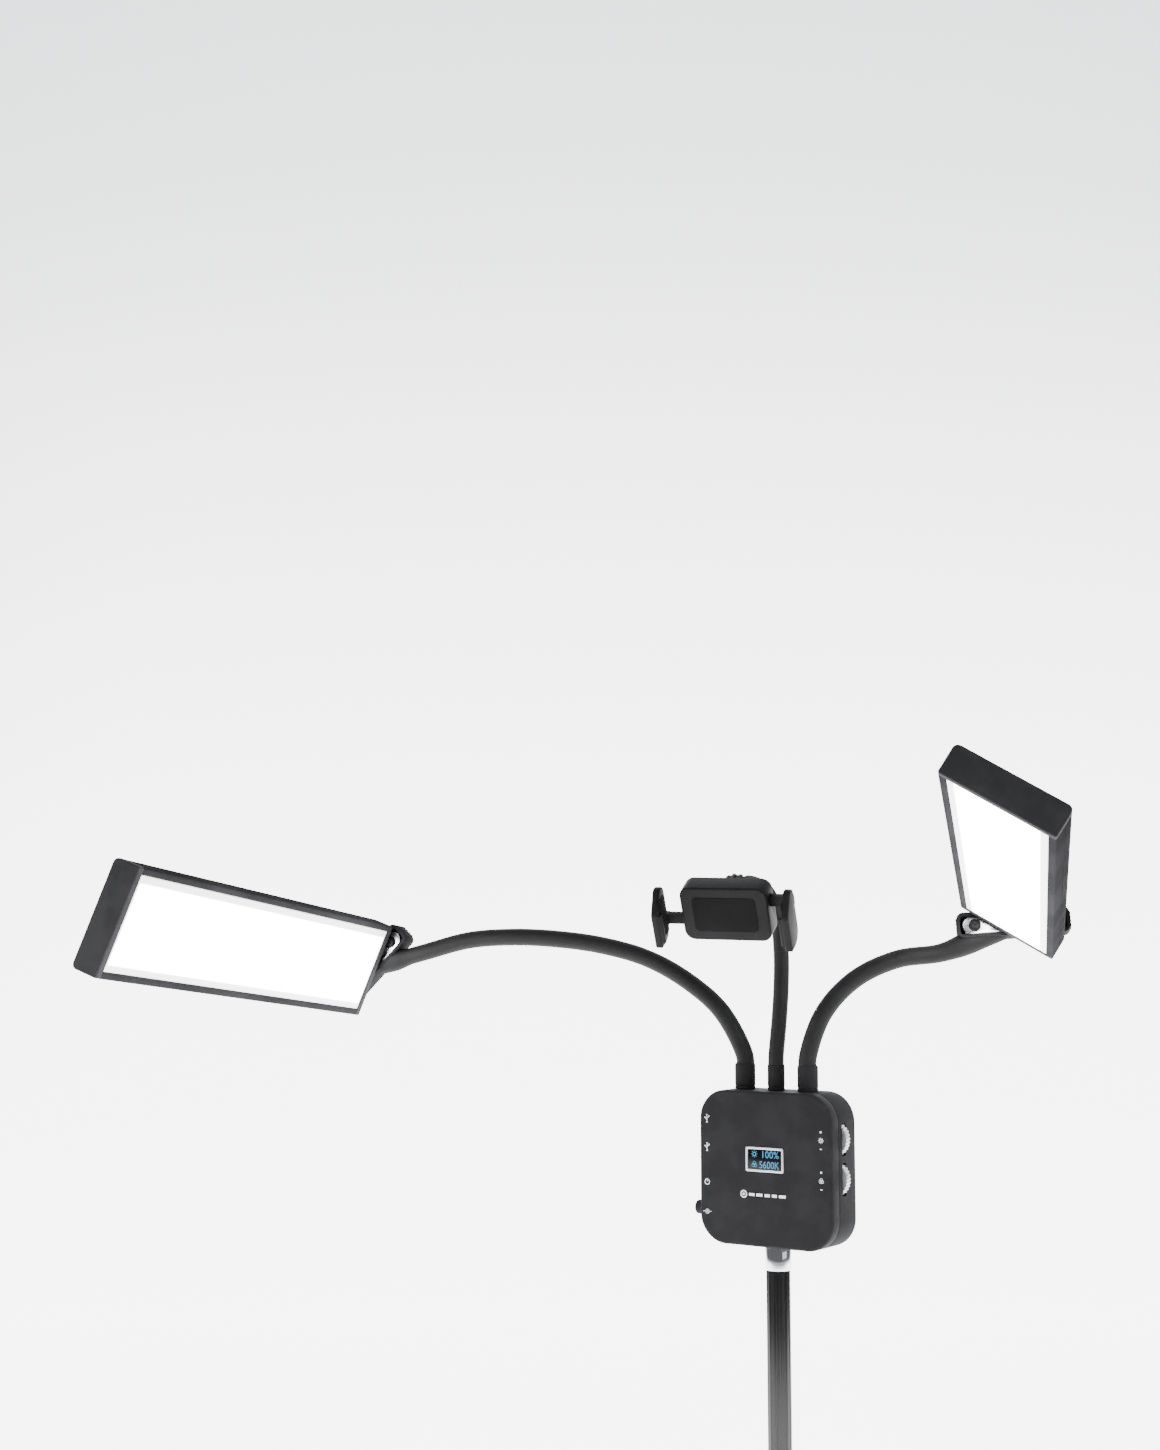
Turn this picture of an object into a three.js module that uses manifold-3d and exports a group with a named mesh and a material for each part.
// Twin-head LED panel light with a control box, three flexible necks and a phone clamp.
// Units are millimetres and +Z is up. The origin is the centre of the pole's bottom face.
import * as THREE from 'three';
import { mergeVertices } from 'three/addons/utils/BufferGeometryUtils.js';
import Module from 'manifold-3d';

const wasm = await Module();
wasm.setup();

// ---------------------------------------------------------------- driving dimensions

const GAP = 0.3;                 // clearance between pieces that touch or turn
const RIM = 5;                   // how far a cutting tool reaches past a face

const POLE = { length: 132, radius: 7, bore: 5.5, flutes: 14, fluteDepth: 0.45 };
const PLUG = { flange: 3, insert: 12 };
const SPIGOT = { radius: 7.95, height: 14, insert: 20, stud: 3.8, studHeight: 7, nut: 6.5, nutHeight: 3.6 };

const BOX = { width: 88, height: 89, depth: 30, corner: 17, edge: 1.6, wall: 2, coverDepth: 8.7 };
const SCREEN = { width: 25, height: 14.1, rise: 5.5, frame: 1.4, frameDepth: 2, lip: 2.6, depth: 1.7 };
const BOARD = { width: 56, height: 66, thickness: 1.6, y: 6.5, solder: 0.2, switchSide: 6, switchDepth: 8 };
const CELL = { left: -8, right: 20, low: -24, high: 6, depth: 7.5 };
const SCREW_PLACE = { x: 22.5, z: 33.5 };
const CASE_SCREW = { shank: 1.5, head: 2.9, headHeight: 1.8, boss: 4, length: 20 };
const WHEEL = { radius: 10.8, width: 4, proud: 3, teeth: 30, tooth: 0.5, bore: 1.9, pin: 1.6 };
const WHEEL_HEIGHTS = { brightness: 18.4, colour: -4.3 };
const WHEEL_BRACKET = { thickness: 1.6, width: 8 };
const BUTTON = { radius: 3.5, proud: 1, flange: 4.6, flangeHeight: 1.2, rise: -9.4 };
const USB = { width: 14.1, thickness: 6.5, wall: 0.6, depth: 13, inset: 1.9, upper: 27.5, lower: 11 };
const INLET = { radius: 4.1, proud: 10.5, bore: 2.9, pin: 0.9, rise: -26.5,
  flange: 5, flangeHeight: 2, socket: 8, tail: 5 };

const COLLAR = { side: 6.05, middle: 5.05, height: 15.5, spacing: 21, spigot: 3.8, spigotLength: 4 };
const NECK = { side: 5.35, middle: 4.6, sides: 12, ball: 1.3, stepLength: 9 };

const PANEL = { length: 292, width: 60, thickness: 14, wall: 1.8, corner: 3, bezel: 3.9 };
const GROOVES = { count: 3, first: -0.4, pitch: 1.5, width: 0.6, depth: 0.5 };
const DIFFUSER = { proud: -0.3, flange: 1.7, lipDepth: 1.4, sideClearance: 0.3 };
const LED_BOARD = { thickness: 1.4, inset: 12, rib: 1.3, ribOffset: 15 };
const CAP = { thickness: 4.7, tongue: 5 };
const PIVOT = { shaft: 2.5, head: 3.7, headHeight: 2, rearHead: 5, rearHeight: 2 };

const TRAY = { length: 65, width: 15, depth: 14, wall: 2, floor: 2.5, corner: 4, ridge: 0.7, standOff: 1 };
const TRAY_PLATE = { length: 58, width: 10.2, thickness: 1.8, setBack: 2.4 };
const TRAY_SCREW = { offset: 22, head: 3.6, headHeight: 1.1, shank: 1.5, length: 8, boss: 3.9 };

const CLAMP = { width: 52, height: 34, thickness: 14, grip: 72, padRoom: 0.4, ballToPhone: 25.6 };
const ARM = { height: 6, thickness: 4, rise: 6.5, reach: 24 };
const JAW = { height: 33, thickness: 4.3, front: 36.8, back: 20.4, lipReach: 2.2, lipDepth: 2.4 };
const BALL = { radius: 7.5, stem: 3.2, stemLength: 15, flange: 4.6, flangeHeight: 2.5 };
const NUT = { room: 1.9, wall: 1.6, front: -9, back: 4, throat: 3.2, ribs: 12, ribDepth: 0.7 };
const nutInner = BALL.radius + NUT.room;
const nutOuter = nutInner + NUT.wall;

// Places. Neck routes and heads are measured from the centre of the control box.
const BOX_CENTRE = new THREE.Vector3(0, 0, PLUG.flange + POLE.length + SPIGOT.height + GAP + BOX.height / 2);
const LEFT_HEAD = {
  side: -1,
  innerEnd: [-261.4, -66.8, 115.8],
  along: [0.24, -0.966, 0.095],
  facing: [0.903, 0.187, -0.387],
  trayTurn: 159.5,
  boot: [[34, 21], [18, 11], [7, 3.5]],
};
const RIGHT_HEAD = {
  side: 1,
  innerEnd: [125.7, 58.6, 143.2],
  along: [0.371, -0.909, 0.19],
  facing: [-0.41, -0.344, -0.845],
  trayTurn: 34.5,
  boot: [[42, 14], [18, 6], [7, 2]],
};
const LEFT_ROUTE = [[-24.5, -1.4, 76], [-49, -5, 102], [-81, -10, 120.5], [-113, -18, 129.5],
  [-164, -32, 134.5], [-208, -43.5, 131]];
const RIGHT_ROUTE = [[24, 2, 78], [33.5, 9, 97.5], [51, 21, 115], [69, 34, 122.5]];
const MIDDLE_ROUTE = [[0, 6, 95], [-1, 9, 130], [-4, 4, 158]];
const CLAMP_PLACE = {
  ball: [-2.8, -39.3, 159.3],
  right: [0.973, 0.227, -0.027],
  front: [0.182, -0.842, -0.506],
};
const STEM_DIRECTION = [0.1, -0.95, -0.28];
const NECK_PARTS = { left: 4, right: 2, middle: 3 };

// ---------------------------------------------------------------- materials

const finish = (color, roughness, metalness) => new THREE.MeshStandardMaterial({ color, roughness, metalness });
const BLACK_PLASTIC = finish(0x2c2c2e, 0.6, 0);
const BLACK_RUBBER = finish(0x262627, 0.8, 0);
const SATIN_BLACK = finish(0x1d1d1f, 0.45, 0.2);
const CHROME = finish(0xd8dadd, 0.15, 1);
const STEEL = finish(0xb9bbbe, 0.35, 1);
const DARK_STEEL = finish(0x3a3a3c, 0.4, 0.8);
const WHITE_DIFFUSER = finish(0xf6f7f5, 0.5, 0);
const GREEN_BOARD = finish(0x1f4d34, 0.6, 0);
const ALUMINIUM = finish(0xc9ccd0, 0.4, 1);
const GLASS_BLACK = finish(0x08090b, 0.1, 0);
const SILVER_PLASTIC = finish(0xd5d7da, 0.35, 0.3);

// ---------------------------------------------------------------- solids

const toSolid = (geometry) => {
  const bare = geometry.index ? geometry.toNonIndexed() : geometry.clone();
  bare.deleteAttribute('normal');
  bare.deleteAttribute('uv');
  const merged = mergeVertices(bare, 1e-4);
  return new wasm.Manifold(new wasm.Mesh({
    numProp: 3,
    vertProperties: new Float32Array(merged.attributes.position.array),
    triVerts: new Uint32Array(merged.index.array),
  }));
};

const toGeometry = (solid) => {
  const mesh = solid.getMesh();
  const geometry = new THREE.BufferGeometry();
  geometry.setAttribute('position', new THREE.BufferAttribute(new Float32Array(mesh.vertProperties), 3));
  geometry.setIndex(new THREE.BufferAttribute(new Uint32Array(mesh.triVerts), 1));
  return geometry;
};

const join = (...solids) => solids.reduce((whole, next) => whole.add(next));
const cut = (solid, ...tools) => tools.reduce((rest, tool) => rest.subtract(tool), solid);

// A block between two opposite corners.
const block = (low, high) => {
  const size = high.map((value, axis) => value - low[axis]);
  const geometry = new THREE.BoxGeometry(...size);
  geometry.translate(...high.map((value, axis) => (value + low[axis]) / 2));
  return toSolid(geometry);
};

// Turns a geometry made along +Z so that it points along the named axis.
const aim = (geometry, axis) => {
  if (axis === 'x') geometry.rotateY(Math.PI / 2);
  if (axis === 'y') geometry.rotateX(-Math.PI / 2);
  return geometry;
};

// A cylinder from one end centre along a row axis.
const rod = (start, length, radius, axis = 'z', sides = 16) => {
  const geometry = new THREE.CylinderGeometry(radius, radius, length, sides);
  geometry.rotateX(Math.PI / 2);
  geometry.translate(0, 0, length / 2);
  aim(geometry, axis);
  geometry.translate(...start);
  return toSolid(geometry);
};

// A solid of revolution about +Z from [radius, height] points that start and end on the axis.
const turned = (profile, sides = 20) => {
  const geometry = new THREE.LatheGeometry(profile.map(([r, h]) => new THREE.Vector2(r, h)), sides);
  geometry.rotateX(Math.PI / 2);
  return toSolid(geometry);
};

const sphere = (centre, radius, sides = 16) => {
  const geometry = new THREE.SphereGeometry(radius, sides, Math.round(sides / 2));
  geometry.translate(...centre);
  return toSolid(geometry);
};

// A rounded rectangle outline, centred on (x, y).
const roundedOutline = (width, height, radius, x = 0, y = 0, steps = 5) => {
  const r = Math.min(radius, width / 2 - 0.01, height / 2 - 0.01);
  const shape = new THREE.Shape();
  const [right, top] = [width / 2 - r, height / 2 - r];
  const points = [];
  [[right, top], [-right, top], [-right, -top], [right, -top]].forEach(([cx, cy], corner) => {
    for (let step = 0; step <= steps; step += 1) {
      const angle = (corner + step / steps) * Math.PI / 2;
      points.push(new THREE.Vector2(x + cx + r * Math.cos(angle), y + cy + r * Math.sin(angle)));
    }
  });
  shape.setFromPoints(points);
  return shape;
};

// Extrudes an outline along +Z from low to high, with an optional bevel inside that length.
const slab = (shape, low, high, bevel = 0) => {
  const geometry = new THREE.ExtrudeGeometry(shape, {
    depth: high - low - 2 * bevel,
    bevelEnabled: bevel > 0,
    bevelThickness: bevel,
    bevelSize: bevel,
    bevelOffset: -bevel,
    bevelSegments: 2,
    curveSegments: 6,
  });
  geometry.translate(0, 0, low + bevel);
  return geometry;
};

// Outlines drawn in X and Z, extruded along Y from front to back.
const slabAlongY = (shape, front, back, bevel = 0) => {
  const geometry = slab(shape, -back, -front, bevel);
  geometry.rotateX(Math.PI / 2);
  return toSolid(geometry);
};

// Outlines drawn in Y and Z, extruded along X.
const slabAlongX = (shape, low, high, bevel = 0) => {
  const geometry = slab(shape, low, high, bevel);
  geometry.applyMatrix4(new THREE.Matrix4().makeBasis(
    new THREE.Vector3(0, 1, 0), new THREE.Vector3(0, 0, 1), new THREE.Vector3(1, 0, 0)));
  return toSolid(geometry);
};

const light = new THREE.Group();

const addPiece = (parent, name, solid, material) => {
  const piece = new THREE.Mesh(toGeometry(solid), material);
  piece.name = name;
  parent.add(piece);
  return piece;
};

const vector = (values) => new THREE.Vector3(...values);

// A group whose X axis is `along` and whose Z axis is as near `facing` as it can be.
const frameGroup = (origin, along, facing) => {
  const x = vector(along).normalize();
  const z = vector(facing);
  z.addScaledVector(x, -z.dot(x)).normalize();
  const y = new THREE.Vector3().crossVectors(z, x);
  const group = new THREE.Group();
  group.quaternion.setFromRotationMatrix(new THREE.Matrix4().makeBasis(x, y, z));
  group.position.copy(origin);
  light.add(group);
  group.updateMatrixWorld(true);
  return group;
};

// ---------------------------------------------------------------- pole

const poleOutline = () => {
  const points = [];
  const perFlute = 4;
  const count = POLE.flutes * perFlute;
  for (let step = 0; step < count; step += 1) {
    const angle = (2 * Math.PI * step) / count;
    const radius = step % perFlute < 2 ? POLE.radius : POLE.radius - POLE.fluteDepth;
    points.push(new THREE.Vector2(radius * Math.cos(angle), radius * Math.sin(angle)));
  }
  return new THREE.Shape(points);
};

const buildPole = () => {
  const bottom = PLUG.flange;
  const top = bottom + POLE.length;
  const tube = cut(
    toSolid(slab(poleOutline(), bottom + GAP, top)),
    rod([0, 0, bottom - RIM], POLE.length + 2 * RIM, POLE.bore),
  );
  addPiece(light, 'pole_tube', tube, SATIN_BLACK);

  const plugInsert = POLE.bore - GAP;
  addPiece(light, 'pole_end_plug', turned([
    [0, 0], [POLE.radius - 0.6, 0], [POLE.radius, 0.6], [POLE.radius, bottom],
    [plugInsert, bottom], [plugInsert, bottom + PLUG.insert], [0, bottom + PLUG.insert],
  ]), BLACK_RUBBER);

  const foot = top + GAP;
  const seat = top + SPIGOT.height;
  addPiece(light, 'pole_spigot', turned([
    [0, top - SPIGOT.insert], [plugInsert, top - SPIGOT.insert], [plugInsert, foot],
    [SPIGOT.radius - 0.5, foot], [SPIGOT.radius, foot + 0.5], [SPIGOT.radius, seat - 0.5],
    [SPIGOT.radius - 0.5, seat], [SPIGOT.stud, seat], [SPIGOT.stud, seat + SPIGOT.studHeight],
    [0, seat + SPIGOT.studHeight],
  ], 32), CHROME);

  const nutLow = seat + GAP + BOX.wall + GAP;
  const nut = cut(
    rod([0, 0, nutLow], SPIGOT.nutHeight, SPIGOT.nut, 'z', 6),
    rod([0, 0, nutLow - RIM], SPIGOT.nutHeight + 2 * RIM, SPIGOT.stud + GAP),
  );
  addPiece(light, 'spigot_nut', nut, STEEL);
};

// ---------------------------------------------------------------- control box

const box = new THREE.Group();
box.position.copy(BOX_CENTRE);
light.add(box);

const FRONT = -BOX.depth / 2;
const BACK = BOX.depth / 2;
const SEAM = FRONT + BOX.coverDepth;
const SIDE = BOX.width / 2;
const TOP = BOX.height / 2;
const innerOutline = () => roundedOutline(BOX.width - 2 * BOX.wall, BOX.height - 2 * BOX.wall,
  BOX.corner - BOX.wall, 0, 0, 7);
const boxOutline = roundedOutline(BOX.width, BOX.height, BOX.corner, 0, 0, 7);
const boxBody = () => slabAlongY(boxOutline, FRONT, BACK, BOX.edge);
const CORNERS = [[-1, 1], [1, 1], [-1, -1], [1, -1]];
const screwPlaces = CORNERS.map(([right, up]) => [right * SCREW_PLACE.x, up * SCREW_PLACE.z]);
const collarPlaces = { left: -COLLAR.spacing, middle: 0, right: COLLAR.spacing };
const wheelX = SIDE + WHEEL.proud - WHEEL.radius;
const bracketY = WHEEL.width / 2 + GAP;
const screenHole = { width: SCREEN.width + 2 * GAP, height: SCREEN.height + 2 * GAP };

const buildFrontCover = () => {
  const far = SIDE + RIM;
  const shell = cut(
    boxBody(),
    block([-far, SEAM - GAP / 2, -far], [far, BACK + RIM, far]),
    slabAlongY(innerOutline(), FRONT + BOX.wall, SEAM + RIM),
    slabAlongY(roundedOutline(screenHole.width, screenHole.height, 1.2, 0, SCREEN.rise, 2), FRONT - RIM,
      FRONT + BOX.wall + RIM),
  );
  const posts = screwPlaces.map(([x, z]) => cut(
    rod([x, FRONT + BOX.wall - 0.5, z], SEAM - GAP / 2 - FRONT - BOX.wall + 0.5, CASE_SCREW.boss, 'y', 14),
    rod([x, FRONT + BOX.wall + 1, z], BOX.coverDepth, CASE_SCREW.shank + GAP, 'y', 12),
  ));
  addPiece(box, 'front_cover', join(shell, ...posts), BLACK_PLASTIC);
};

const sideHole = (side, z, height, width) => {
  const inner = side * (SIDE - BOX.wall - RIM);
  const outer = side * (SIDE + RIM);
  return block([Math.min(inner, outer), -width / 2, z - height / 2], [Math.max(inner, outer), width / 2,
    z + height / 2]);
};

const buildRearShell = () => {
  const far = SIDE + RIM;
  const inside = BACK - BOX.wall;
  const shell = cut(
    boxBody(),
    block([-far, FRONT - RIM, -far], [far, SEAM + GAP / 2, far]),
    slabAlongY(innerOutline(), SEAM - RIM, inside),
  );
  const bosses = screwPlaces.map(([x, z]) => rod([x, SEAM + GAP / 2, z], inside + 0.5 - SEAM - GAP / 2,
    CASE_SCREW.boss, 'y', 14));
  const boardPosts = [-1, 1].map((side) => rod([side * BOARD.width * 0.36, BOARD.y + BOARD.thickness + GAP, 0],
    inside + 0.5 - BOARD.y - BOARD.thickness - GAP, 3, 'y', 12));
  const bracketFoot = bracketY + WHEEL_BRACKET.thickness + GAP;
  const bracketPosts = Object.values(WHEEL_HEIGHTS).map((z) => rod([wheelX, bracketFoot, z],
    inside + 0.5 - bracketFoot, 3, 'y', 12));
  const screwHoles = screwPlaces.map(([x, z]) => rod([x, SEAM - RIM, z], BOX.depth,
    CASE_SCREW.shank + GAP, 'y', 12));
  const headPockets = screwPlaces.map(([x, z]) => rod([x, BACK - CASE_SCREW.headHeight - 0.4, z], RIM,
    CASE_SCREW.head + GAP, 'y', 16));
  const wheelSlots = Object.values(WHEEL_HEIGHTS).map((z) => sideHole(1, z,
    2 * Math.sqrt(WHEEL.radius ** 2 - (WHEEL.radius - WHEEL.proud - BOX.wall) ** 2) + 2 * GAP,
    WHEEL.width + 2 * GAP));
  const collarHoles = Object.values(collarPlaces).map((x) => rod([x, 0, TOP - BOX.wall - RIM], BOX.wall + 2 * RIM,
    COLLAR.spigot + GAP));
  const usbHoles = [USB.upper, USB.lower].map((z) => sideHole(-1, z,
    USB.width + 2 * GAP, USB.thickness + 2 * GAP));
  const whole = cut(
    join(shell, ...bosses, ...boardPosts, ...bracketPosts),
    ...screwHoles, ...headPockets, ...wheelSlots, ...collarHoles, ...usbHoles,
    rod([-SIDE - RIM, 0, BUTTON.rise], BOX.wall + 2 * RIM, BUTTON.radius + GAP, 'x'),
    rod([-SIDE - RIM, 0, INLET.rise], BOX.wall + 2 * RIM, INLET.radius + GAP, 'x'),
    rod([0, 0, -TOP - RIM], BOX.wall + 2 * RIM, SPIGOT.stud + GAP),
  );
  addPiece(box, 'rear_shell', whole, BLACK_PLASTIC);
};

const buildScreen = () => {
  const frameOuter = roundedOutline(SCREEN.width, SCREEN.height, 1, 0, SCREEN.rise, 2);
  const innerWidth = SCREEN.width - 2 * SCREEN.frame;
  const innerHeight = SCREEN.height - 2 * SCREEN.frame;
  const frontFace = FRONT - 0.3;
  addPiece(box, 'display_bezel', cut(
    slabAlongY(frameOuter, frontFace, frontFace + SCREEN.frameDepth),
    slabAlongY(roundedOutline(innerWidth, innerHeight, 0.6, 0, SCREEN.rise, 2), frontFace - RIM, FRONT + RIM),
  ), SILVER_PLASTIC);

  const backing = FRONT + BOX.wall + GAP;
  addPiece(box, 'display', join(
    slabAlongY(roundedOutline(SCREEN.width + 2 * SCREEN.lip, SCREEN.height + 2 * SCREEN.lip,
      0.8, 0, SCREEN.rise, 2),
      backing, backing + SCREEN.depth),
    slabAlongY(roundedOutline(innerWidth - 2 * GAP, innerHeight - 2 * GAP, 0.4, 0, SCREEN.rise, 2), FRONT + 0.4,
      backing + 0.5),
  ), GLASS_BLACK);
};

const buildBoard = () => {
  const plate = block([-BOARD.width / 2, BOARD.y, -BOARD.height / 2],
    [BOARD.width / 2, BOARD.y + BOARD.thickness, BOARD.height / 2]);
  const sunk = BOARD.y + BOARD.solder;
  const battery = block([CELL.left, BOARD.y - CELL.depth, CELL.low], [CELL.right, sunk, CELL.high]);
  const switchHalf = BOARD.switchSide / 2;
  const switchBlock = block([-BOARD.width / 2, BOARD.y - BOARD.switchDepth, BUTTON.rise - switchHalf],
    [-BOARD.width / 2 + BOARD.switchSide, sunk, BUTTON.rise + switchHalf]);
  const corners = screwPlaces.map(([x, z]) => rod([x, BOARD.y - RIM, z], BOARD.thickness + 2 * RIM,
    CASE_SCREW.boss + 1, 'y', 14));
  addPiece(box, 'main_board', cut(join(plate, battery, switchBlock), ...corners), GREEN_BOARD);
};

const buildWheel = (name, z) => {
  const points = [];
  for (let step = 0; step < WHEEL.teeth * 2; step += 1) {
    const angle = (Math.PI * step) / WHEEL.teeth;
    const radius = step % 2 ? WHEEL.radius : WHEEL.radius - WHEEL.tooth;
    points.push(new THREE.Vector2(wheelX + radius * Math.cos(angle), z + radius * Math.sin(angle)));
  }
  const wheel = cut(
    slabAlongY(new THREE.Shape(points), -WHEEL.width / 2, WHEEL.width / 2),
    rod([wheelX, -WHEEL.width, z], 2 * WHEEL.width, WHEEL.bore, 'y', 16),
  );
  addPiece(box, name, wheel, SILVER_PLASTIC);
};

const buildWheelBracket = () => {
  const heights = Object.values(WHEEL_HEIGHTS);
  const reach = WHEEL_BRACKET.width / 2;
  const plate = block([wheelX - reach, bracketY, Math.min(...heights) - reach],
    [wheelX + reach, bracketY + WHEEL_BRACKET.thickness, Math.max(...heights) + reach]);
  const pins = heights.map((z) => rod([wheelX, -WHEEL.width / 2 - 1, z], bracketY + WHEEL.width / 2 + 1.5,
    WHEEL.pin, 'y', 16));
  addPiece(box, 'wheel_bracket', join(plate, ...pins), STEEL);
};

const buildButton = () => {
  const inner = -SIDE + BOX.wall + GAP;
  addPiece(box, 'power_button', join(
    rod([-SIDE - BUTTON.proud, 0, BUTTON.rise], BUTTON.proud + BOX.wall + GAP + 0.5, BUTTON.radius, 'x'),
    rod([inner, 0, BUTTON.rise], BUTTON.flangeHeight, BUTTON.flange, 'x'),
  ), BLACK_PLASTIC);
};

const buildUsbPort = (name, z) => {
  const mouth = -SIDE + USB.inset;
  const outer = [USB.thickness / 2, USB.width / 2];
  const inner = outer.map((half) => half - USB.wall);
  addPiece(box, name, cut(
    block([mouth, -outer[0], z - outer[1]], [mouth + USB.depth, outer[0], z + outer[1]]),
    block([mouth - RIM, -inner[0], z - inner[1]], [mouth + USB.depth - USB.wall, inner[0], z + inner[1]]),
  ), STEEL);
};

const buildInlet = () => {
  const mouth = -SIDE - INLET.proud;
  const inner = -SIDE + BOX.wall + 3 * GAP;
  const barrel = cut(
    join(
      rod([mouth, 0, INLET.rise], INLET.proud + BOX.wall + GAP + INLET.tail, INLET.radius, 'x', 24),
      rod([inner, 0, INLET.rise], INLET.flangeHeight, INLET.flange, 'x', 24),
    ),
    rod([mouth - RIM, 0, INLET.rise], RIM + INLET.socket, INLET.bore, 'x', 20),
  );
  const pin = rod([mouth + 1, 0, INLET.rise], INLET.socket, INLET.pin, 'x', 10);
  addPiece(box, 'power_inlet', join(barrel, pin), BLACK_PLASTIC);
};

const buildCaseScrews = () => {
  screwPlaces.forEach(([x, z], index) => {
    const face = BACK - 0.3;
    addPiece(box, `case_screw_${index + 1}`, cut(
      join(
        rod([x, face - CASE_SCREW.headHeight, z], CASE_SCREW.headHeight, CASE_SCREW.head, 'y', 18),
        rod([x, face - CASE_SCREW.length, z], CASE_SCREW.length - 0.5, CASE_SCREW.shank, 'y', 12),
      ),
      block([x - 1.8, face - 0.8, z - 0.35], [x + 1.8, face + RIM, z + 0.35]),
      block([x - 0.35, face - 0.8, z - 1.8], [x + 0.35, face + RIM, z + 1.8]),
    ), STEEL);
  });
};

// ---------------------------------------------------------------- flexible necks

// The part of a longer curve between two fractions of its length.
class Stretch extends THREE.Curve {
  constructor(whole, from, to) {
    super();
    this.whole = whole;
    this.from = from;
    this.to = to;
  }

  getPoint(t, target = new THREE.Vector3()) {
    return this.whole.getPointAt(this.from + (this.to - this.from) * t, target);
  }
}

const tubeAlong = (curve, radius, from, to) => {
  const outline = [];
  for (let step = 0; step < NECK.sides; step += 1) {
    const angle = (2 * Math.PI * step) / NECK.sides;
    outline.push(new THREE.Vector2(radius * Math.cos(angle), radius * Math.sin(angle)));
  }
  const length = curve.getLength() * (to - from);
  return toSolid(new THREE.ExtrudeGeometry(new THREE.Shape(outline), {
    steps: Math.max(2, Math.round(length / NECK.stepLength)),
    bevelEnabled: false,
    extrudePath: new Stretch(curve, from, to),
  }));
};

// Everything behind a ball centre that lies outside the ball: it rounds the start of a neck part.
const roundingTool = (curve, at, ballRadius) => {
  const centre = curve.getPointAt(at);
  const tangent = curve.getTangentAt(at);
  const reach = ballRadius * 2.4;
  const geometry = new THREE.BoxGeometry(reach * 2, reach * 2, reach * 2);
  geometry.translate(0, 0, -reach);
  geometry.applyQuaternion(new THREE.Quaternion().setFromUnitVectors(new THREE.Vector3(0, 0, 1), tangent));
  geometry.translate(...centre);
  return toSolid(geometry).subtract(sphere(centre, ballRadius));
};

// Cuts one neck into parts with rounded starts and cupped ends, from fraction `first` to `last`.
// A neck that runs to the end of its curve ends flat.
const buildNeckParts = (name, curve, radius, first, last, parts) => {
  const ballRadius = radius * NECK.ball;
  const length = curve.getLength();
  for (let index = 0; index < parts; index += 1) {
    const from = first + ((last - first) * index) / parts;
    const to = first + ((last - first) * (index + 1)) / parts;
    const start = Math.max(0, from - (ballRadius * 1.3) / length);
    const tube = tubeAlong(curve, radius, start, to);
    const rounded = cut(tube, roundingTool(curve, from, ballRadius));
    const cup = sphere(curve.getPointAt(to), ballRadius + GAP);
    const isFlat = last === 1 && index === parts - 1;
    addPiece(light, `${name}_neck_${index + 1}`, isFlat ? rounded : rounded.subtract(cup), BLACK_RUBBER);
  }
};

const collarTop = TOP + GAP + COLLAR.height;
const neckPivotRise = 3;

const buildCollar = (name, radius, neckRadius) => {
  const x = collarPlaces[name];
  const low = TOP + GAP;
  const cup = sphere([0, 0, collarTop + neckPivotRise], neckRadius * NECK.ball + GAP);
  const profile = turned([
    [0, low - COLLAR.spigotLength], [COLLAR.spigot, low - COLLAR.spigotLength], [COLLAR.spigot, low],
    [radius - 0.4, low], [radius, low + 0.4], [radius, collarTop - 0.8], [radius - 0.8, collarTop],
    [0, collarTop],
  ]);
  addPiece(box, `${name}_collar`, profile.subtract(cup).translate([x, 0, 0]), BLACK_PLASTIC);
};

const fromBox = (point) => vector(point).add(BOX_CENTRE);
const neckStart = (name) => [
  fromBox([collarPlaces[name], 0, collarTop - 10]),
  fromBox([collarPlaces[name], 0, collarTop + neckPivotRise]),
];

// Fraction of a curve's length that lies nearest to a point.
const fractionAt = (curve, point) => {
  const samples = 800;
  let best = 0;
  for (let step = 1; step <= samples; step += 1) {
    const nearer = curve.getPointAt(step / samples).distanceTo(point) < curve.getPointAt(best).distanceTo(point);
    if (nearer) best = step / samples;
  }
  return best;
};

// ---------------------------------------------------------------- light heads

const panelEdge = PANEL.width / 2;
const panelFront = PANEL.thickness / 2;

const panelOutline = (grooved) => {
  const points = [];
  const corner = (cy, cz, radius, from) => {
    for (let step = 0; step <= 4; step += 1) {
      const angle = from + (step / 4) * Math.PI / 2;
      points.push(new THREE.Vector2(cy + radius * Math.cos(angle), cz + radius * Math.sin(angle)));
    }
  };
  const grooveRun = (side) => {
    const tops = [];
    for (let index = 0; index < GROOVES.count; index += 1) {
      tops.push(GROOVES.first - index * GROOVES.pitch);
    }
    const steps = tops.map((z) => {
      const outer = side * panelEdge;
      const inner = side * (panelEdge - GROOVES.depth);
      return [[outer, z], [inner, z - 0.1], [inner, z - GROOVES.width + 0.1], [outer, z - GROOVES.width]];
    });
    const ordered = side > 0 ? steps.reverse().map((groove) => groove.reverse()) : steps;
    ordered.flat().forEach(([y, z]) => points.push(new THREE.Vector2(y, z)));
  };
  const nose = 1;
  if (grooved) grooveRun(1);
  corner(panelEdge - nose, panelFront - nose, nose, 0);
  corner(-panelEdge + nose, panelFront - nose, nose, Math.PI / 2);
  if (grooved) grooveRun(-1);
  corner(-panelEdge + PANEL.corner, -panelFront + PANEL.corner, PANEL.corner, Math.PI);
  corner(panelEdge - PANEL.corner, -panelFront + PANEL.corner, PANEL.corner, 1.5 * Math.PI);
  return new THREE.Shape(points);
};

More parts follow.
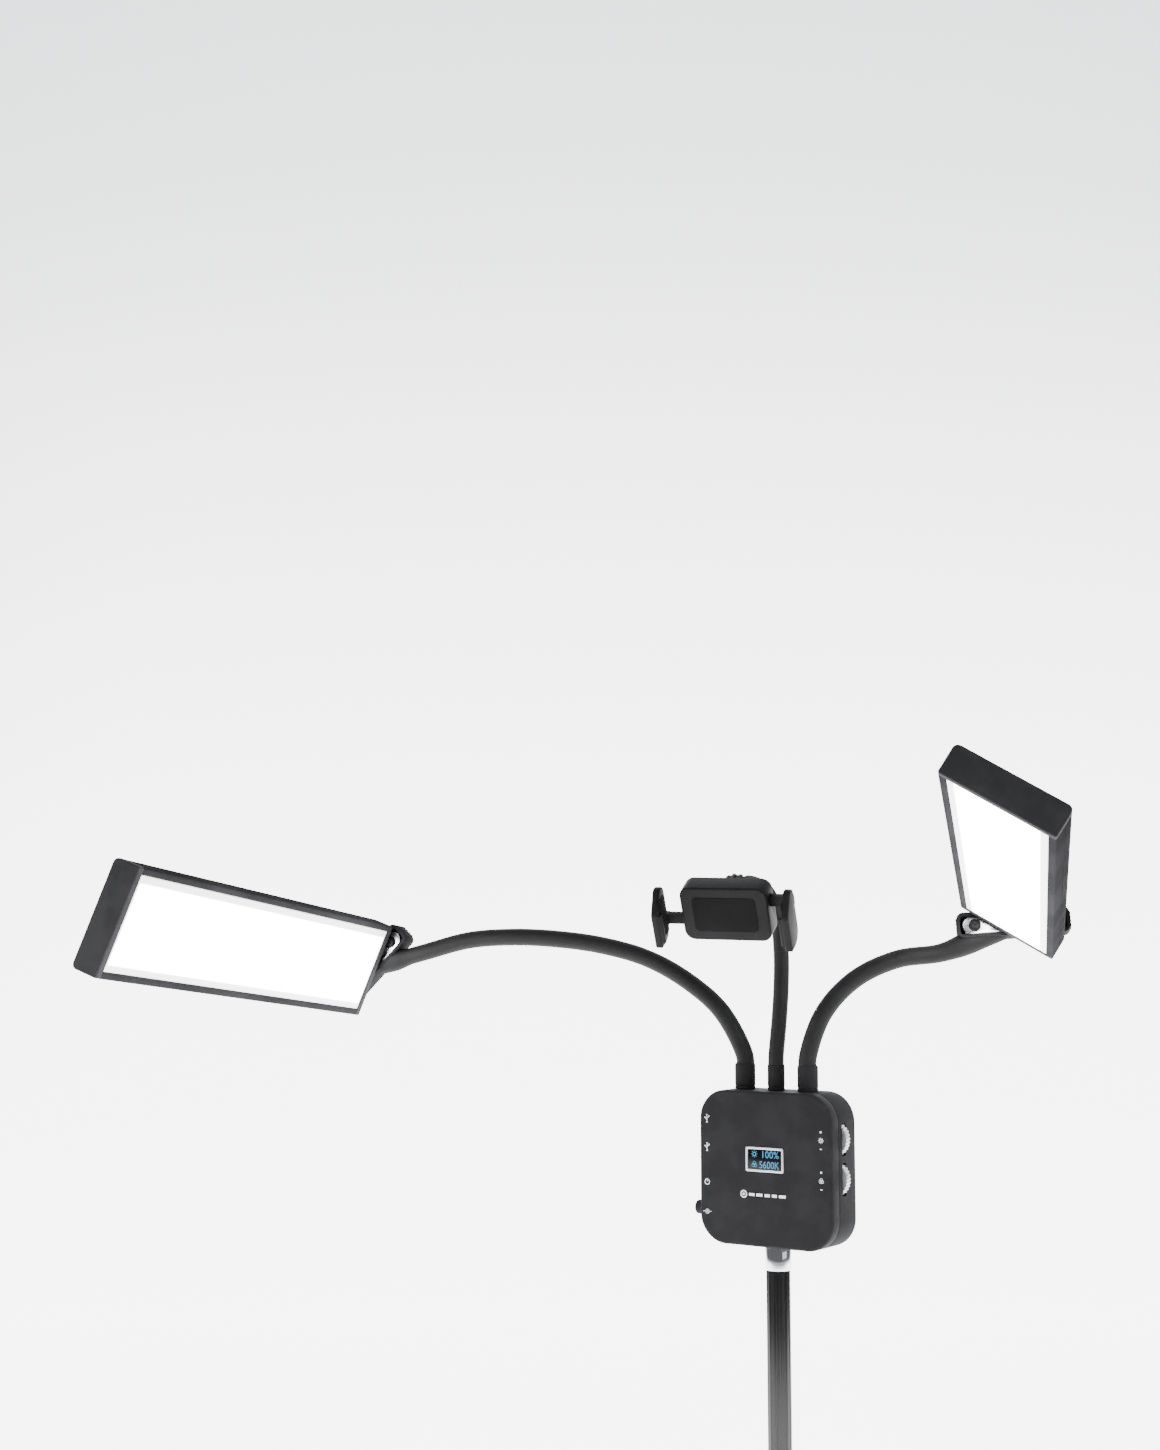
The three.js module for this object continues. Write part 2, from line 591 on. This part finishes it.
const cavity = {
  side: panelEdge - PANEL.wall,
  floor: -panelFront + PANEL.wall,
  roof: panelFront - DIFFUSER.lipDepth,
};
const boardTop = cavity.floor + LED_BOARD.rib + GAP + LED_BOARD.thickness;
const diffuserLow = cavity.roof - GAP - DIFFUSER.flange;

const buildHousing = (group, name) => {
  const [low, high] = [CAP.thickness + GAP, PANEL.length - CAP.thickness - GAP];
  const window = panelEdge - PANEL.bezel;
  const far = [low - RIM, high + RIM];
  const ribs = [-1, 1].map((side) => {
    const y = side * LED_BOARD.ribOffset;
    return block([low, y - 1, cavity.floor - 0.5], [high, y + 1, cavity.floor + LED_BOARD.rib]);
  });
  addPiece(group, `${name}_housing`, join(cut(
    slabAlongX(panelOutline(true), low, high),
    block([far[0], -cavity.side, cavity.floor], [far[1], cavity.side, cavity.roof]),
    block([far[0], -window, 0], [far[1], window, panelFront + RIM]),
  ), ...ribs), BLACK_PLASTIC);
};

const buildDiffuser = (group, name) => {
  const [low, high] = [CAP.thickness + 2 * GAP, PANEL.length - CAP.thickness - 2 * GAP];
  const window = panelEdge - PANEL.bezel - DIFFUSER.sideClearance;
  const flange = cavity.side - DIFFUSER.sideClearance;
  addPiece(group, `${name}_diffuser`, join(
    block([low + CAP.tongue, -flange, diffuserLow], [high - CAP.tongue, flange, diffuserLow + DIFFUSER.flange]),
    block([low, -window, diffuserLow + 0.5], [high, window, panelFront + DIFFUSER.proud]),
  ), WHITE_DIFFUSER);
};

const buildLedBoard = (group, name) => {
  const edge = cavity.side - 1.5;
  addPiece(group, `${name}_led_board`, block(
    [LED_BOARD.inset, -edge, boardTop - LED_BOARD.thickness],
    [PANEL.length - LED_BOARD.inset, edge, boardTop],
  ), ALUMINIUM);
};

// A cap is drawn for the inner end; the outer one is the same cap turned round.
const capSolid = () => {
  const tongueSide = cavity.side - GAP;
  return join(
    slabAlongX(panelOutline(false), 0, CAP.thickness, 0.7),
    block([CAP.thickness - 0.5, -tongueSide, boardTop + GAP],
      [CAP.thickness + CAP.tongue, tongueSide, diffuserLow - GAP]),
  );
};

const buildCaps = (group, name) => {
  addPiece(group, `${name}_inner_cap`, cut(
    capSolid(),
    rod([-RIM, 0, 0], CAP.thickness + 2 * RIM, PIVOT.shaft + GAP, 'x'),
    rod([CAP.thickness, 0, 0], CAP.tongue + RIM, PIVOT.head + GAP, 'x'),
  ), BLACK_PLASTIC);
  const outer = addPiece(group, `${name}_outer_cap`, capSolid(), BLACK_PLASTIC);
  outer.geometry.scale(-1, 1, 1);
  outer.geometry.translate(PANEL.length, 0, 0);
  const index = outer.geometry.index.array;
  for (let corner = 0; corner < index.length; corner += 3) {
    [index[corner], index[corner + 1]] = [index[corner + 1], index[corner]];
  }
};

const trayRim = -TRAY.standOff;
const trayBack = trayRim - TRAY.depth;
const plateTop = trayRim - TRAY_PLATE.setBack;
const plateBottom = plateTop - TRAY_PLATE.thickness;

// The tray's outside, with small ridges on both short ends; `grow` widens it all round.
const trayBody = (grow) => {
  const outline = roundedOutline(TRAY.length + 2 * grow, TRAY.width + 2 * grow, TRAY.corner + grow, 0, 0, 4);
  const body = slabAlongX(outline, trayBack - grow, trayRim + grow, grow > 0 ? 0 : 0.5);
  const ridges = [-1, 1].flatMap((side) => [-1, 0, 1].map((row) => rod(
    [trayBack + 1, side * (TRAY.length / 2 - 0.1), row * 2.3], TRAY.depth - 2, TRAY.ridge, 'x', 8)));
  return join(body, ...ridges);
};

const buildTray = (group, name) => {
  const inner = roundedOutline(TRAY.length - 2 * TRAY.wall, TRAY.width - 2 * TRAY.wall, TRAY.corner - 1, 0, 0, 4);
  const bosses = [-1, 1].map((side) => rod([trayBack + TRAY.floor - 0.5, side * TRAY_SCREW.offset, 0],
    plateBottom - GAP - trayBack - TRAY.floor + 0.5, TRAY_SCREW.boss, 'x', 16));
  const holes = [-1, 1].map((side) => rod([trayBack + TRAY.floor, side * TRAY_SCREW.offset, 0], TRAY.depth,
    TRAY_SCREW.shank + GAP, 'x', 12));
  const cornerGap = block([trayBack - RIM, TRAY.length / 2 - TRAY.wall - 2.4, TRAY.width / 2 - TRAY.wall - 2],
    [trayRim, TRAY.length / 2 - TRAY.wall - 0.8, TRAY.width / 2 - TRAY.wall - 0.6]);
  addPiece(group, `${name}_tray`, cut(
    join(cut(trayBody(0), slabAlongX(inner, trayBack + TRAY.floor, trayRim + RIM)), ...bosses),
    ...holes, cornerGap,
  ), BLACK_PLASTIC);

  const plateOutline = roundedOutline(TRAY_PLATE.length, TRAY_PLATE.width, TRAY_PLATE.width / 2, 0, 0, 6);
  const plateHoles = [-1, 1].map((side) => rod([plateBottom - RIM, side * TRAY_SCREW.offset, 0], 2 * RIM,
    TRAY_SCREW.shank + GAP, 'x', 12));
  addPiece(group, `${name}_tray_plate`, cut(
    slabAlongX(plateOutline, plateBottom, plateTop),
    ...plateHoles,
    rod([plateBottom - RIM, 0, 0], 2 * RIM, PIVOT.shaft + GAP, 'x'),
  ), STEEL);

  ['near', 'far'].forEach((end, index) => {
    const y = (index ? -1 : 1) * TRAY_SCREW.offset;
    const seat = plateTop + GAP;
    addPiece(group, `${name}_screw_${end}`, cut(
      join(
        rod([seat, y, 0], TRAY_SCREW.headHeight, TRAY_SCREW.head, 'x', 20),
        rod([seat - TRAY_SCREW.length, y, 0], TRAY_SCREW.length + 0.5, TRAY_SCREW.shank, 'x', 10),
      ),
      block([seat + 0.5, y - 1.7, -0.35], [seat + RIM, y + 1.7, 0.35]),
      block([seat + 0.5, y - 0.35, -1.7], [seat + RIM, y + 0.35, 1.7]),
    ), DARK_STEEL);
  });

  const rear = plateBottom - GAP - PIVOT.rearHeight;
  const headLow = CAP.thickness + GAP;
  addPiece(group, `${name}_pivot_bolt`, turned([
    [0, rear], [PIVOT.rearHead, rear], [PIVOT.rearHead, rear + PIVOT.rearHeight],
    [PIVOT.shaft, rear + PIVOT.rearHeight], [PIVOT.shaft, headLow], [PIVOT.head, headLow],
    [PIVOT.head, headLow + PIVOT.headHeight], [0, headLow + PIVOT.headHeight],
  ]).rotate([0, 90, 0]), STEEL);
};

// The tray's frame: X runs towards the panel, Y along the tray and Z across it.
const trayFrame = (head) => {
  const x = vector(head.along).normalize();
  const z = vector(head.facing);
  z.addScaledVector(x, -z.dot(x)).normalize();
  const turn = new THREE.Quaternion().setFromAxisAngle(x, THREE.MathUtils.degToRad(head.trayTurn));
  return frameGroup(fromBox(head.innerEnd), x.toArray(), z.applyQuaternion(turn).toArray());
};

const buildHead = (name, head, route, parts) => {
  const panel = frameGroup(fromBox(head.innerEnd), head.along, head.facing);
  buildHousing(panel, name);
  buildDiffuser(panel, name);
  buildLedBoard(panel, name);
  buildCaps(panel, name);

  const tray = trayFrame(head);
  buildTray(tray, name);

  const bootPoints = head.boot.map(([along, across]) => tray.localToWorld(
    new THREE.Vector3(trayRim - TRAY.depth / 2, along, head.side * across)));
  const curve = new THREE.CatmullRomCurve3([...neckStart(name), ...route.map(fromBox), ...bootPoints],
    false, 'centripetal');
  curve.arcLengthDivisions = 600;
  const first = fractionAt(curve, neckStart(name)[1]);
  const last = fractionAt(curve, bootPoints[0]);
  buildNeckParts(name, curve, NECK.side, first, last, parts);

  const ballRadius = NECK.side * NECK.ball;
  const boot = cut(
    tubeAlong(curve, NECK.side, last - (ballRadius * 1.3) / curve.getLength(), 1),
    roundingTool(curve, last, ballRadius),
  );
  const trayRoom = toGeometry(trayBody(GAP));
  trayRoom.applyMatrix4(tray.matrixWorld);
  addPiece(light, `${name}_boot`, boot.subtract(toSolid(trayRoom)), BLACK_RUBBER);
};

// ---------------------------------------------------------------- phone clamp

const clampFrame = () => {
  const right = vector(CLAMP_PLACE.right).normalize();
  const back = vector(CLAMP_PLACE.front).negate();
  back.addScaledVector(right, -back.dot(right)).normalize();
  const up = new THREE.Vector3().crossVectors(right, back);
  return frameGroup(fromBox(CLAMP_PLACE.ball), right.toArray(), up.toArray());
};

const buildMiddleNeck = () => {
  const ballCentre = fromBox(CLAMP_PLACE.ball);
  const stem = vector(STEM_DIRECTION).normalize();
  const end = ballCentre.clone().addScaledVector(stem, -BALL.radius - BALL.stemLength + 2 * BALL.flangeHeight);
  const curve = new THREE.CatmullRomCurve3([...neckStart('middle'), ...MIDDLE_ROUTE.map(fromBox),
    end.clone().addScaledVector(stem, -6), end], false, 'centripetal');
  curve.arcLengthDivisions = 600;
  const first = fractionAt(curve, neckStart('middle')[1]);
  buildNeckParts('middle', curve, NECK.middle, first, 1, NECK_PARTS.middle);

  const stemBottom = -end.distanceTo(ballCentre) + GAP;
  const stud = join(
    turned([
      [0, stemBottom], [BALL.flange, stemBottom], [BALL.flange, stemBottom + BALL.flangeHeight],
      [BALL.stem, stemBottom + BALL.flangeHeight], [BALL.stem, 0], [0, 0],
    ], 20),
    sphere([0, 0, 0], BALL.radius, 22),
  );
  const geometry = toGeometry(stud);
  geometry.applyQuaternion(new THREE.Quaternion().setFromUnitVectors(new THREE.Vector3(0, 0, 1), stem));
  geometry.translate(...ballCentre);
  addPiece(light, 'ball_stud', toSolid(geometry), STEEL);
};

const clampFront = -CLAMP.ballToPhone + GAP;
const clampBack = clampFront + CLAMP.thickness;
const BOSS_SETBACK = 1;

const armRoom = (side, clearance) => {
  const z = side * ARM.rise;
  const half = ARM.height / 2 + clearance;
  const middle = (clampFront + clampBack) / 2;
  const reach = CLAMP.width / 2;
  const inner = reach - ARM.reach - 2;
  return block([side > 0 ? inner - clearance : -reach - RIM, middle - ARM.thickness / 2 - clearance, z - half],
    [side > 0 ? reach + RIM : -inner + clearance, middle + ARM.thickness / 2 + clearance, z + half]);
};

const buildClampBody = (group) => {
  const body = slabAlongY(roundedOutline(CLAMP.width, CLAMP.height, 6, 0, 0, 4), clampFront, clampBack, 1.2);
  const boss = rod([0, clampBack - 0.5, 0], -clampBack + 0.5 - BOSS_SETBACK, nutInner - GAP, 'y', 24);
  addPiece(group, 'clamp_body', cut(
    join(body, boss),
    sphere([0, 0, 0], BALL.radius + GAP, 20),
    armRoom(1, GAP), armRoom(-1, GAP),
  ), BLACK_PLASTIC);
};

const buildBallNut = (group) => {
  const outer = [];
  for (let step = 0; step < NUT.ribs * 4; step += 1) {
    const angle = (2 * Math.PI * step) / (NUT.ribs * 4);
    const radius = step % 4 < 2 ? nutOuter : nutOuter - NUT.ribDepth;
    outer.push(new THREE.Vector2(radius * Math.cos(angle), radius * Math.sin(angle)));
  }
  const bossEnd = GAP - BOSS_SETBACK;
  addPiece(group, 'ball_nut', cut(
    slabAlongY(new THREE.Shape(outer), NUT.front, NUT.back),
    rod([0, NUT.front - RIM, 0], RIM - NUT.front + bossEnd, nutInner, 'y', 24),
    sphere([0, 0, 0], BALL.radius + GAP, 20),
    rod([0, 0, 0], NUT.back + RIM, BALL.stem + NUT.throat, 'y', 24),
  ), BLACK_PLASTIC);
};

const buildJaw = (group, name, side) => {
  const half = JAW.height / 2;
  const outline = new THREE.Shape();
  outline.moveTo(-JAW.front, -half + 1);
  outline.lineTo(-JAW.front, half * 0.3);
  outline.lineTo(-JAW.front + 8.5, half - 1);
  outline.quadraticCurveTo(-JAW.front + 9.5, half, -JAW.front + 11, half);
  outline.quadraticCurveTo(-JAW.back, half, -JAW.back, half - 4);
  outline.lineTo(-JAW.back, -half * 0.45);
  outline.quadraticCurveTo(-JAW.back, -half, -JAW.back - 9, -half);
  outline.lineTo(-JAW.front + 1, -half);
  const gripFace = CLAMP.grip / 2 + CLAMP.padRoom;
  const plate = slabAlongX(outline, gripFace, gripFace + JAW.thickness, 0.8);
  const lip = block([gripFace - JAW.lipReach, -JAW.front + 0.6, -half + 3],
    [gripFace + 1.2, -JAW.front + JAW.lipDepth + 0.3, half * 0.25]);
  const middle = (clampFront + clampBack) / 2;
  const z = side * ARM.rise;
  const arm = block([gripFace + 1 - ARM.reach - 6, middle - ARM.thickness / 2, z - ARM.height / 2],
    [gripFace + 1, middle + ARM.thickness / 2, z + ARM.height / 2]);
  const root = block([gripFace, -JAW.back - 3, z - ARM.height / 2],
    [gripFace + JAW.thickness - 1, middle + ARM.thickness / 2, z + ARM.height / 2]);
  const jaw = addPiece(group, name, join(plate, lip, arm, root), BLACK_PLASTIC);
  if (side < 0) {
    jaw.geometry.scale(-1, 1, 1);
    const index = jaw.geometry.index.array;
    for (let corner = 0; corner < index.length; corner += 3) {
      [index[corner], index[corner + 1]] = [index[corner + 1], index[corner]];
    }
  }
};

const buildClamp = () => {
  const group = clampFrame();
  buildClampBody(group);
  buildBallNut(group);
  buildJaw(group, 'left_jaw', -1);
  buildJaw(group, 'right_jaw', 1);
};

// ---------------------------------------------------------------- assembly

buildPole();
buildFrontCover();
buildRearShell();
buildScreen();
buildBoard();
buildWheel('brightness_wheel', WHEEL_HEIGHTS.brightness);
buildWheel('colour_wheel', WHEEL_HEIGHTS.colour);
buildWheelBracket();
buildButton();
buildUsbPort('usb_port_upper', USB.upper);
buildUsbPort('usb_port_lower', USB.lower);
buildInlet();
buildCaseScrews();
buildCollar('left', COLLAR.side, NECK.side);
buildCollar('middle', COLLAR.middle, NECK.middle);
buildCollar('right', COLLAR.side, NECK.side);
buildHead('left', LEFT_HEAD, LEFT_ROUTE, NECK_PARTS.left);
buildHead('right', RIGHT_HEAD, RIGHT_ROUTE, NECK_PARTS.right);
buildMiddleNeck();
buildClamp();

export default light;
